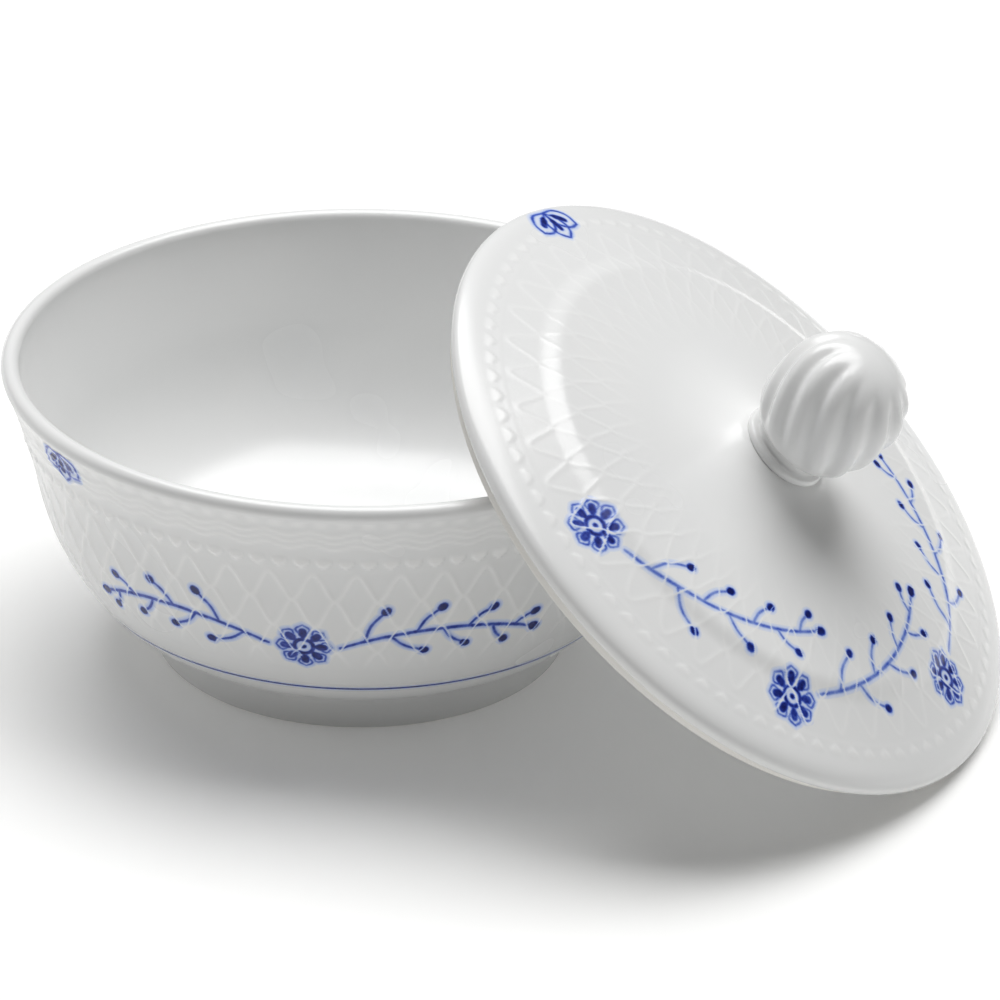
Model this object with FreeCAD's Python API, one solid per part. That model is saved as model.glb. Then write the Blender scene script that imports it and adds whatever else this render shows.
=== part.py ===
"""Covered porcelain rice bowl: a footed bowl, and its domed lid with a fluted knob, leaning on its rim."""
import os
import FreeCAD, Part
from math import cos, radians, sin
from FreeCAD import Placement, Rotation, Vector

# All lengths are in millimetres. Z is up, and the table is the plane z = 0.

# Bowl, overall
rim_radius = 60.0           # outermost reach of the rolled lip
bowl_height = 53.0          # table to the top of the lip
lip_bead_radius = 1.5       # radius of the rolled lip's section
wall = 3.0                  # thickness of the side wall, measured level
floor_thickness = 4.0       # bottom of the bowl, above the hollow inside the foot

# Bowl, outline of the side wall
waist_inset = 5.3           # how far the wall stands inside the lip where it starts to flare
waist_drop = 19.8           # how far below the lip's top the flare starts
waist_flare = 9.0           # degrees off upright at the start of the flare
lip_flare = 22.0            # degrees off upright just under the lip
lip_join_angle = 50.0       # degrees below level at which the wall meets the bead outside
mouth_join_angle = 12.0     # the same, inside
belly_rise = 17.0           # degrees above level at which the body leaves the foot
flare_pull = 4.0            # length of the handles that shape the flare
belly_pull_low = 12.4       # handle of the belly's curve at the foot
belly_pull_high = 9.6       # handle of the belly's curve at the waist
flat_floor_radius = 24.0    # the level middle of the inside
floor_pull = 19.0           # handle of the inner curve at the floor
inner_pull = 13.0           # handle of the inner curve at the waist

# Foot ring, turned in one piece with the bowl
foot_radius = 35.3          # outside, at the table
foot_height = 6.2           # table to the crease under the belly
foot_draft = 0.3            # how much wider the ring is at the crease
foot_width = 3.8            # thickness of the ring
foot_edge = 0.7             # rounding on both sides of the resting land
recess_depth = 5.2          # hollow inside the ring
recess_cove = 1.6           # rounding where the ring meets the hollow's ceiling

# Lid, overall, in its own frame: its axis is Z and its height 0 is the bottom of the locating ring
lid_inset = 2.0             # the lid's edge stands this far inside the lip's outermost reach
lid_wall = 3.9              # thickness of the lid
lid_rise = 16.0             # bottom of the locating ring to the pad under the knob
lid_clearance = 0.8         # gap between the locating ring and the bowl's mouth, on the radius

# Lid, outline
ring_depth = 2.2            # locating ring, below the seat that lands on the lip
ring_width = 2.8            # thickness of the locating ring
ring_edge = 0.5             # rounding at the bottom of the ring
edge_bulge_rise = 1.4       # seat to the widest level of the rolled edge
edge_roll_rise = 3.6        # seat to the top of the rolled edge
edge_roll_run = 3.4         # how far in the rolled edge's top lies
edge_under = 0.8            # how far in the rolled edge starts underneath
step_inset = 16.2           # the moulded step, inward from the lid's edge
step_rise = 1.0             # height of the step
step_run = 1.5              # width of the step
step_drop = 6.4             # top of the step, below the knob's pad
shoulder_radius = 24.0      # faint inner ring, where the face starts to sweep up to the knob
shoulder_drop = 4.0         # that ring, below the pad
sweep_run = 2.2             # handle of the sweep at the pad, outward
sweep_fall = 1.3            # the same, downward
riser_fall = 0.1            # share of the step's height taken by each of its two soft corners
cove_pull = 5.0             # handle where the ring's inner wall turns into the underside
underside_run = 12.0        # handle of the hollow underside below the step, inward
underside_climb = 2.0       # the same, upward
crown_pull = 14.0           # level handle of the underside at the vent
crown_drop = 5.2            # middle of the underside, below the pad

# Knob
pad_radius = 8.0            # flat pad on the lid, and the moulding at the base of the knob
pad_moulding = 1.3          # height of that moulding
moulding_foot = 0.5         # how far in the moulding starts at the pad
moulding_top_inset = 0.6    # how far in its rounding ends
neck_radius = 6.4           # at the bottom of the bud
neck_taper = 0.4            # how much slimmer the neck is at the moulding
neck_height = 2.9           # pad to the bottom of the bud
bud_radius = 11.2
bud_height = 21.5           # bottom to tip of the bud
bud_waist_pull = 6.2        # handle that rounds the bud at its widest
bud_neck_rise = 0.8         # climb of the bud's outline as it leaves the neck
bud_tip_pull = 7.2          # handle that rounds the bud's tip
flute_count = 12
flute_radius = 1.7          # section of each flute
flute_depth = 0.85          # depth of each flute at the bud's widest level
flute_slant = 30.0          # how far each flute slants from upright at the bud's widest level
flute_start = -5.0          # direction of the first flute
flute_sweep = 16.0          # radius of the arc that each flute follows, so that it fades out above and below
knob_wall = 3.6             # thickness of the hollow knob
cut_overlap = 0.5           # how far one cutter runs into the next
vent_radius = 1.3           # hole in the lid that lets air out of the knob in the kiln

# How the lid leans on the bowl
lean_angle = 40.4           # tilt of the lid's axis off upright
lean_heading = -21.6        # direction in which the lid's axis tips, in degrees from +X towards +Y
lid_bearing = -20.3         # direction from the bowl's axis to the middle of the lid, likewise
table_gap = 0.15            # lid's lowest edge above the table
lean_gap = 0.3              # lid's underside off the lip, at the nearest point
gap_tolerance = 0.01


def point(radius, height):
    """A point of an outline in the plane y = 0."""
    return Vector(radius, 0, height)


def handle(start, length, angle_from_level):
    """A point at a length and an angle above level from a start point, used as the handle of a curve."""
    angle = radians(angle_from_level)
    return start + Vector(length * cos(angle), 0, length * sin(angle))


def line(start, end):
    return Part.LineSegment(start, end).toShape()


def curve(start, start_handle, end_handle, end):
    """A cubic Bezier edge."""
    bezier = Part.BezierCurve()
    bezier.setPoles([start, start_handle, end_handle, end])
    return bezier.toShape()


def corner(start, apex, end):
    """A rounded corner: a quadratic Bezier edge that is tangent to both legs."""
    bezier = Part.BezierCurve()
    bezier.setPoles([start, apex, end])
    return bezier.toShape()


def turned(edges):
    """The solid made by turning a closed outline once round the Z axis."""
    outline = Part.Wire(Part.__sortEdges__(edges))
    return Part.makeSolid(Part.Face(outline).revolve(Vector(0, 0, 0), Vector(0, 0, 1), 360))


# ---------------------------------------------------------------- bowl

bead_centre = point(rim_radius - lip_bead_radius, bowl_height - lip_bead_radius)
mouth_radius = rim_radius - 2 * lip_bead_radius
waist = point(rim_radius - waist_inset, bowl_height - waist_drop)
crease = point(foot_radius + foot_draft, foot_height)
floor_top = recess_depth + floor_thickness


def lip_edges(outer_join, inner_join):
    """The rolled lip: one arc over the top of the bead."""
    top = bead_centre + Vector(0, 0, lip_bead_radius)
    return [Part.Arc(outer_join, top, inner_join).toShape()]


def outside_edges(outer_join):
    """Foot crease, round the belly to the waist, and out to the lip."""
    upright = 90 - waist_flare
    belly = curve(crease,
                  handle(crease, belly_pull_low, belly_rise),
                  handle(waist, -belly_pull_high, upright),
                  waist)
    flare = curve(waist,
                  handle(waist, flare_pull, upright),
                  handle(outer_join, -flare_pull, 90 - lip_flare),
                  outer_join)
    return [belly, flare]


def inside_edges(inner_join):
    """Mouth, down the inner wall, and round to the level floor."""
    inner_waist = waist - Vector(wall, 0, 0)
    upright = 90 - waist_flare
    floor_edge = point(flat_floor_radius, floor_top)
    mouth = curve(inner_join,
                  handle(inner_join, -flare_pull, upright),
                  handle(inner_waist, flare_pull, upright),
                  inner_waist)
    hollow = curve(inner_waist,
                   handle(inner_waist, -inner_pull, upright),
                   floor_edge + Vector(floor_pull, 0, 0),
                   floor_edge)
    return [mouth, hollow, line(floor_edge, point(0, floor_top))]


def foot_edges():
    """Up the middle of the recess, across its ceiling, down the ring, over the land and up its outside."""
    inner = foot_radius - foot_width
    ceiling = point(inner - recess_cove, recess_depth)
    cove_end = point(inner, recess_depth - recess_cove)
    land_inner = point(inner + foot_edge, 0)
    land_outer = point(foot_radius - foot_edge, 0)
    inner_side = point(inner, foot_edge)
    outer_side = point(foot_radius, foot_edge)
    return [
        line(point(0, floor_top), point(0, recess_depth)),
        line(point(0, recess_depth), ceiling),
        corner(ceiling, point(inner, recess_depth), cove_end),
        line(cove_end, inner_side),
        corner(inner_side, point(inner, 0), land_inner),
        line(land_inner, land_outer),
        corner(land_outer, point(foot_radius, 0), outer_side),
        line(outer_side, crease),
    ]


def make_bowl():
    """The bowl with its foot ring, one moulded piece."""
    outer_join = handle(bead_centre, lip_bead_radius, -lip_join_angle)
    inner_join = handle(bead_centre, lip_bead_radius, 180 + mouth_join_angle)
    outside = foot_edges() + outside_edges(outer_join)
    return turned(outside + lip_edges(outer_join, inner_join) + inside_edges(inner_join))


# ---------------------------------------------------------------- lid, in its own frame

lid_radius = rim_radius - lid_inset
ring_radius = mouth_radius - lid_clearance
ring_inner_radius = ring_radius - ring_width
edge_top = point(lid_radius - edge_roll_run, ring_depth + edge_roll_rise)
step_foot = point(lid_radius - step_inset + step_run, lid_rise - step_drop - step_rise)
step_top = point(lid_radius - step_inset, lid_rise - step_drop)
band_slope = (edge_top.z - step_foot.z) / (edge_top.x - step_foot.x)
shoulder = point(shoulder_radius, lid_rise - shoulder_drop)
pad_edge = point(pad_radius, lid_rise)


def face_edges():
    """The lid's outer face: pad, sweep, gentle slope, step, outer band and rolled edge."""
    third = (step_top - shoulder) * (1 / 3)
    sweep = curve(pad_edge, pad_edge + Vector(sweep_run, 0, -sweep_fall), shoulder - third, shoulder)
    riser_middle = (step_top + step_foot) * 0.5
    riser = [
        corner(step_top, step_top + Vector(step_run / 2, 0, -step_rise * riser_fall), riser_middle),
        corner(riser_middle, step_foot + Vector(-step_run / 2, 0, step_rise * riser_fall), step_foot),
    ]
    band = line(step_foot, edge_top)
    widest = point(lid_radius, ring_depth + edge_bulge_rise)
    under = point(lid_radius - edge_under, ring_depth)
    roll_rise = edge_roll_rise - edge_bulge_rise
    under_corner = corner(widest, point(lid_radius, ring_depth), under)
    roll = curve(edge_top,
                 edge_top + Vector(edge_roll_run / 2, 0, band_slope * edge_roll_run / 2),
                 widest + Vector(0, 0, roll_rise / 2),
                 widest)
    return [sweep, line(shoulder, step_top)] + riser + [band, roll, under_corner]


def ring_edges():
    """Seat, locating ring and its inner wall up to the cove."""
    seat = point(lid_radius - edge_under, ring_depth)
    ring_top = point(ring_radius, ring_depth)
    outer_side = point(ring_radius, ring_edge)
    outer_land = point(ring_radius - ring_edge, 0)
    inner_land = point(ring_inner_radius + ring_edge, 0)
    inner_side = point(ring_inner_radius, ring_edge)
    return [
        line(seat, ring_top),
        line(ring_top, outer_side),
        corner(outer_side, point(ring_radius, 0), outer_land),
        line(outer_land, inner_land),
        corner(inner_land, point(ring_inner_radius, 0), inner_side),
    ]


def underside_edges():
    """Cove inside the ring, the hollow underside, and the vent up the middle."""
    start = point(ring_inner_radius, ring_edge)
    under_step = step_foot - Vector(0, 0, lid_wall)
    middle = point(vent_radius, lid_rise - crown_drop)
    hollow = curve(under_step,
                   under_step + Vector(-underside_run, 0, underside_climb),
                   middle + Vector(crown_pull, 0, 0),
                   middle)
    cove = curve(start,
                 start + Vector(0, 0, cove_pull / 2),
                 under_step + Vector(cove_pull, 0, band_slope * cove_pull),
                 under_step)
    pad_middle = point(vent_radius, lid_rise)
    return [cove, hollow, line(middle, pad_middle), line(pad_middle, pad_edge)]


def make_lid():
    """The domed lid with its locating ring and vent."""
    return turned(face_edges() + ring_edges() + underside_edges())


# ---------------------------------------------------------------- knob, in the lid's frame

bud_bottom = lid_rise + neck_height
bud_middle = bud_bottom + bud_height / 2


def bud_edges(inset):
    """The bud's outline from neck to tip, drawn in by an inset."""
    start = point(neck_radius - inset, bud_bottom + inset)
    widest = point(bud_radius - inset, bud_middle)
    tip = point(0, bud_bottom + bud_height - inset)
    return [
        curve(start,
              start + Vector(bud_waist_pull / 2, 0, bud_neck_rise),
              widest - Vector(0, 0, bud_waist_pull),
              widest),
        curve(widest, widest + Vector(0, 0, bud_waist_pull), tip + Vector(bud_tip_pull, 0, 0), tip),
    ]


def make_flute(index):
    """A ring-shaped cutter that carves one slanting flute down the side of the bud."""
    reach = bud_radius + flute_radius - flute_depth
    centre = Vector(reach - flute_sweep, 0, bud_middle)
    cutter = Part.makeTorus(flute_sweep, flute_radius, centre, Vector(0, 1, 0))
    cutter.rotate(centre, Vector(1, 0, 0), flute_slant)
    cutter.rotate(Vector(0, 0, 0), Vector(0, 0, 1), flute_start + index * 360 / flute_count)
    return cutter


def make_knob():
    """The hollow fluted bud on its neck, with the moulding that is luted to the lid's pad."""
    moulding_start = point(pad_radius - moulding_foot, lid_rise)
    moulding_top = point(pad_radius - moulding_top_inset, lid_rise + pad_moulding)
    neck_low = point(neck_radius - neck_taper, lid_rise + pad_moulding)
    bud_start = point(neck_radius, bud_bottom)
    solid_base = turned([
        line(point(0, lid_rise), moulding_start),
        corner(moulding_start, point(pad_radius, lid_rise + pad_moulding / 2), moulding_top),
        line(moulding_top, neck_low),
        line(neck_low, bud_start),
        line(bud_start, point(0, bud_bottom)),
        line(point(0, bud_bottom), point(0, lid_rise)),
    ])
    tip = point(0, bud_bottom + bud_height)
    bud = turned(bud_edges(0) + [line(bud_start, point(0, bud_bottom)), line(point(0, bud_bottom), tip)])
    bud = bud.cut([make_flute(index) for index in range(flute_count)])
    hollow_start = point(neck_radius - knob_wall, bud_bottom + knob_wall)
    hollow_tip = point(0, bud_bottom + bud_height - knob_wall)
    hollow = turned(bud_edges(knob_wall) + [
        line(hollow_start, point(0, hollow_start.z)),
        line(point(0, hollow_start.z), hollow_tip),
    ])
    shaft_length = hollow_start.z - lid_rise + cut_overlap
    shaft = Part.makeCylinder(neck_radius - knob_wall, shaft_length, Vector(0, 0, lid_rise))
    return solid_base.fuse(bud).cut([hollow, shaft]).removeSplitter()


# ---------------------------------------------------------------- the lid leans on the bowl


def lean(shape, reach):
    """The shape tilted with the lid, whose ring's middle stands at a reach from the bowl's axis."""
    tilt = Rotation(Vector(0, 0, 1), lean_heading) * Rotation(Vector(0, 1, 0), lean_angle)
    bearing = radians(lid_bearing)
    lowest = (ring_radius - ring_edge / 2) * sin(radians(lean_angle))
    place = Vector(reach * cos(bearing), reach * sin(bearing), lowest + table_gap)
    moved = shape.copy()
    moved.Placement = Placement(place, tilt)
    return moved


def find_reach(bowl, lid):
    """How far out the lid stands: it slides in until its underside is lean_gap off the lip."""
    reach = rim_radius + lid_radius
    gap = lean(lid, reach).distToShape(bowl)[0]
    while gap - lean_gap > gap_tolerance:
        reach -= (gap - lean_gap) / sin(radians(lean_angle))
        gap = lean(lid, reach).distToShape(bowl)[0]
    return reach


def main():
    bowl = make_bowl()
    lid = make_lid()
    knob = make_knob()
    reach = find_reach(bowl, lid)
    parts = {"bowl": bowl, "lid": lean(lid, reach), "lid_knob": lean(knob, reach)}
    os.makedirs("parts", exist_ok=True)
    for name, shape in parts.items():
        shape.exportStep("parts/" + name + ".step")
        print(name, shape.isValid(), len(shape.Solids), round(shape.Volume, 1))
    print("reach", round(reach, 3))


main()
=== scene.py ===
"""Covered rice bowl in glazed porcelain: a footed bowl, and its domed lid with a fluted knob leaning on its rim.

The walls carry a moulded net of rounded lozenges with a row of drops, and sprigs and flowers painted in cobalt
under the glaze.
Lengths inside the classes are in millimetres; meshes are written in metres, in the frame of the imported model.
"""
import logging
import math
from dataclasses import dataclass, field
from enum import Enum

import bpy
import numpy as np
from mathutils import Matrix, Vector


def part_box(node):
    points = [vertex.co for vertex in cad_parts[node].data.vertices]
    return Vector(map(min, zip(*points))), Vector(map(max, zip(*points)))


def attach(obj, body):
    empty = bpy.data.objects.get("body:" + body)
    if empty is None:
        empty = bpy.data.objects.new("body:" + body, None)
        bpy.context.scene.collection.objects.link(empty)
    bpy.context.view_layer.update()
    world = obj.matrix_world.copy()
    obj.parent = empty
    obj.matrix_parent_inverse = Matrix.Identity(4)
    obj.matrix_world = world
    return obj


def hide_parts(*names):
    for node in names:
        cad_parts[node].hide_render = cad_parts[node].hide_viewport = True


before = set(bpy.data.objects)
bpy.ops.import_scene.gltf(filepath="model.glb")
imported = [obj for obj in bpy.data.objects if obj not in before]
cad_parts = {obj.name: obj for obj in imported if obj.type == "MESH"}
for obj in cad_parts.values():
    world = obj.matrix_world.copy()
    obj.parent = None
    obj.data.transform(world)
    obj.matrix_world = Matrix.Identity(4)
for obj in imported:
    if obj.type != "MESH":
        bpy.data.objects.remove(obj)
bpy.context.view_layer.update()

Array = np.ndarray
Point = tuple[float, float]
Tree = bpy.types.NodeTree
Socket = bpy.types.NodeSocket

MM = 0.001
log = logging.getLogger("rice_bowl")


# ------------------------------------------------------------------ numbers and colours


def linear(hex_colour: str) -> tuple[float, float, float, float]:
    """Turns an sRGB hex colour into linear light.

    Args:
        hex_colour: Six hex digits after a hash sign.

    Returns:
        Red, green, blue and an alpha of 1.
    """
    levels = [int(hex_colour[i:i + 2], 16) / 255 for i in (1, 3, 5)]
    light = [c / 12.92 if c <= 0.04045 else ((c + 0.055) / 1.055) ** 2.4 for c in levels]
    return (light[0], light[1], light[2], 1.0)


def ease(low: float, high: float, value: Array) -> Array:
    """Rises smoothly from 0 at low to 1 at high: three times the square less twice the cube of the share."""
    share = np.clip((value - low) / (high - low), 0.0, 1.0)
    return share * share * (3.0 - 2.0 * share)


def swell(offset: Array, half_width: float) -> Array:
    """A rounded ridge: the bell curve of the distance from its crest over its half width."""
    return np.exp(-(offset / half_width) ** 2)


def reach(start: Point, length: float, angle: float) -> Point:
    """The point at a length and an angle in degrees above level from a start point."""
    turn = math.radians(angle)
    return (start[0] + length * math.cos(turn), start[1] + length * math.sin(turn))


# ------------------------------------------------------------------ outlines


@dataclass(frozen=True)
class Span:
    """One stretch of an outline: a Bezier curve of two, three or four points, in (radius, height).

    Attributes:
        points: The control points.
        rows: How many rows of faces the stretch gets.
    """

    points: tuple[Point, ...]
    rows: int

    def sample(self, count: int) -> Array:
        """Points along the curve: each control point weighed by its Bernstein polynomial.

        Args:
            count: How many intervals the parameter is divided into.

        Returns:
            An array of count + 1 rows of radius and height.
        """
        share = np.linspace(0.0, 1.0, count + 1)[:, None]
        order = len(self.points) - 1
        terms = [
            math.comb(order, k) * share ** k * (1 - share) ** (order - k) * np.array(point)
            for k, point in enumerate(self.points)
        ]
        return np.sum(terms, axis=0)


def outline(spans: list[Span], rows: list[int] | None = None) -> Array:
    """Joins spans into one line of points without repeating the joints.

    Args:
        spans: The stretches, each starting where the last one ends.
        rows: Intervals for each stretch, instead of its own rows.

    Returns:
        An array of rows of radius and height.
    """
    counts = rows or [span.rows for span in spans]
    parts = [span.sample(count)[:-1] for span, count in zip(spans, counts)]
    return np.vstack(parts + [np.array([spans[-1].points[-1]])])


def normals_of(line: Array) -> Array:
    """Unit normals of an outline, on the left of its direction: the central difference turned a quarter turn."""
    step = np.gradient(line, axis=0)
    turned = np.stack([-step[:, 1], step[:, 0]], axis=1)
    return turned / np.linalg.norm(turned, axis=1, keepdims=True)


# ------------------------------------------------------------------ meshes


class MeshDraft:
    """Gathers points, faces and point values as whole arrays, and makes one smooth mesh object of them."""

    def __init__(self) -> None:
        """Starts empty."""
        self.points: list[Array] = []
        self.faces: list[Array] = []
        self.values: dict[str, list[Array]] = {}
        self.count = 0

    def add_points(self, points: Array, **values: Array) -> Array:
        """Adds points.

        Args:
            points: Any shape, with the three coordinates last, in millimetres.
            **values: A value for each point, by the name of its attribute.

        Returns:
            The index of each point, in the shape that the points came in.
        """
        shape = points.shape[:-1]
        size = int(np.prod(shape))
        self.points.append(points.reshape(-1, 3))
        for name, value in values.items():
            self.values.setdefault(name, []).append(np.broadcast_to(value, shape).reshape(-1))
        index = np.arange(self.count, self.count + size).reshape(shape)
        self.count += size
        return index

    def add_faces(self, faces: Array) -> None:
        """Adds faces of one number of corners: a row of point indices each."""
        self.faces.append(faces.reshape(-1, faces.shape[-1]))

    def build(self, name: str, place: Matrix | None = None, facing: Array | None = None) -> bpy.types.Object:
        """Writes the arrays into a mesh, in metres, and links its object.

        Args:
            name: The piece's name.
            place: Where the points are moved to, in metres; none for where they are.
            facing: A shading normal for each point; none for the mesh's own.

        Returns:
            The object, which sits at the origin.
        """
        points = np.vstack(self.points) * MM
        if place is not None:
            turn = np.array(place)
            points = points @ turn[:3, :3].T + turn[:3, 3]
        corners = np.concatenate([faces.ravel() for faces in self.faces])
        sizes = np.concatenate([np.full(len(faces), faces.shape[1]) for faces in self.faces])
        starts = np.concatenate([[0], np.cumsum(sizes)[:-1]])
        mesh = bpy.data.meshes.new(name)
        mesh.vertices.add(len(points))
        mesh.vertices.foreach_set("co", points.astype(np.float32).ravel())
        mesh.loops.add(len(corners))
        mesh.loops.foreach_set("vertex_index", corners.astype(np.int32))
        mesh.polygons.add(len(starts))
        mesh.polygons.foreach_set("loop_start", starts.astype(np.int32))
        mesh.update(calc_edges=True)
        mesh.polygons.foreach_set("use_smooth", np.ones(len(starts), bool))
        for key, parts in self.values.items():
            layer = mesh.attributes.new(key, "FLOAT", "POINT")
            layer.data.foreach_set("value", np.concatenate(parts).astype(np.float32))
        mesh.validate()
        mesh.update()
        if facing is not None:
            turned = facing if place is None else facing @ np.array(place)[:3, :3].T
            mesh.normals_split_custom_set_from_vertices(turned.tolist())
        piece = bpy.data.objects.new(name, mesh)
        bpy.context.scene.collection.objects.link(piece)
        return piece


def ring_faces(lower: Array, upper: Array, height_lower: Array, height_upper: Array) -> Array:
    """Triangles between two rings of equal count, each quad cut along the diagonal whose ends stand higher.

    Cutting along the higher diagonal keeps a fine slanting ridge in one line instead of a row of teeth.

    Args:
        lower: Point indices of rings, one row each, the first ring of each pair.
        upper: The same for the second ring of each pair.
        height_lower: The relief height at each of the first points.
        height_upper: The same at the second.

    Returns:
        Rows of three point indices.
    """
    a, d = lower, upper
    b, c = np.roll(lower, -1, axis=-1), np.roll(upper, -1, axis=-1)
    ha, hd = height_lower, height_upper
    hb, hc = np.roll(ha, -1, axis=-1), np.roll(hd, -1, axis=-1)
    rising = (ha + hc >= hb + hd)[..., None]
    first = np.where(rising, np.stack([a, b, c], -1), np.stack([a, b, d], -1))
    second = np.where(rising, np.stack([a, c, d], -1), np.stack([b, c, d], -1))
    return np.concatenate([first.reshape(-1, 3), second.reshape(-1, 3)])


def stitch_faces(fine: Array, coarse: Array, fine_first: bool) -> Array:
    """Polygons that join a ring of many points to one of few: each has one coarse edge and the fine ones by it.

    Args:
        fine: Indices of the ring with more points.
        coarse: Indices of the other ring, whose count divides the first.
        fine_first: True where the fine ring comes first along the outline.

    Returns:
        Rows of point indices, ratio + 3 in each.
    """
    ratio = len(fine) // len(coarse)
    at = np.arange(len(coarse))[:, None] * ratio + np.arange(ratio + 1)[None, :]
    along = fine[at % len(fine)]
    near = coarse[:, None]
    far = np.roll(coarse, -1)[:, None]
    faces = np.hstack([along, far, near])
    return faces if fine_first else faces[:, ::-1]


@dataclass(frozen=True)
class Band:
    """A run of rings round the axis.

    Attributes:
        line: The outline, rows of radius and height.
        columns: Points in each ring.
        moulded: True where the relief shows.
        bare: True where the clay has no glaze.
    """

    line: Array
    columns: int
    moulded: bool = False
    bare: bool = False


class Turning:
    """A solid of revolution made of bands, with relief pushed out along the outline's normals."""

    def __init__(self, relief: "Relief | None", outward: float) -> None:
        """Keeps the relief and the side on which the outline's left normal points out (1) or in (-1)."""
        self.relief = relief
        self.outward = outward
        self.draft = MeshDraft()

    def rings(self, band: Band) -> tuple[Array, Array]:
        """Adds a band's points.

        A point stands at the outline's radius and height, moved along the normal by the relief at its angle.

        Args:
            band: The band.

        Returns:
            Indices and relief heights, one row for each ring.
        """
        angle = np.linspace(0.0, 2.0 * np.pi, band.columns, endpoint=False)[None, :]
        radius, height = band.line[:, :1], band.line[:, 1:]
        raised = np.zeros((len(band.line), band.columns))
        if band.moulded and self.relief is not None:
            raised = self.relief.height(angle, self.relief.key(radius, height))
        normal = normals_of(band.line) * self.outward
        out = radius + raised * normal[:, :1]
        up = height + raised * normal[:, 1:]
        points = np.stack(np.broadcast_arrays(out * np.cos(angle), out * np.sin(angle), up), -1)
        bare = np.full(raised.shape, float(band.bare))
        index = self.draft.add_points(points, relief=raised, bare=bare)
        return index, raised

    def pole(self, height: float) -> Array:
        """Adds one point on the axis and returns its index."""
        return self.draft.add_points(np.array([[0.0, 0.0, height]]), relief=0.0, bare=0.0)

    def build(
        self, name: str, bands: list[Band], poles: Point | None, place: Matrix | None = None,
    ) -> bpy.types.Object:
        """Joins the bands end to end and closes the form.

        Args:
            name: The piece's name.
            bands: The bands in the order of the outline; each starts a row after the last one ends.
            poles: Heights of the points on the axis before and after the bands, or none for an outline that is
                a loop.
            place: Where the piece stands, in metres.

        Returns:
            The piece.
        """
        made = [self.rings(band) for band in bands]
        draft = self.draft
        for index, raised in made:
            self.add(ring_faces(index[:-1], index[1:], raised[:-1], raised[1:]))
        pairs = list(zip(made[:-1], made[1:]))
        if poles is None:
            pairs.append((made[-1], made[0]))
        for (before, _), (after, _) in pairs:
            last, first = before[-1], after[0]
            if len(last) == len(first):
                self.add(np.stack([last, np.roll(last, -1), np.roll(first, -1), first], -1))
            elif len(last) > len(first):
                self.add(stitch_faces(last, first, True))
            else:
                self.add(stitch_faces(first, last, False))
        if poles is not None:
            start, end = made[0][0][0], made[-1][0][-1]
            self.add(np.stack([np.roll(start, -1), start, np.broadcast_to(self.pole(poles[0]), start.shape)], -1))
            self.add(np.stack([end, np.roll(end, -1), np.broadcast_to(self.pole(poles[1]), end.shape)], -1))
        return draft.build(name, place)

    def add(self, faces: Array) -> None:
        """Adds faces, turned over where the outline runs the other way round."""
        self.draft.add_faces(faces if self.outward < 0 else faces[:, ::-1])


# ------------------------------------------------------------------ relief


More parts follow.
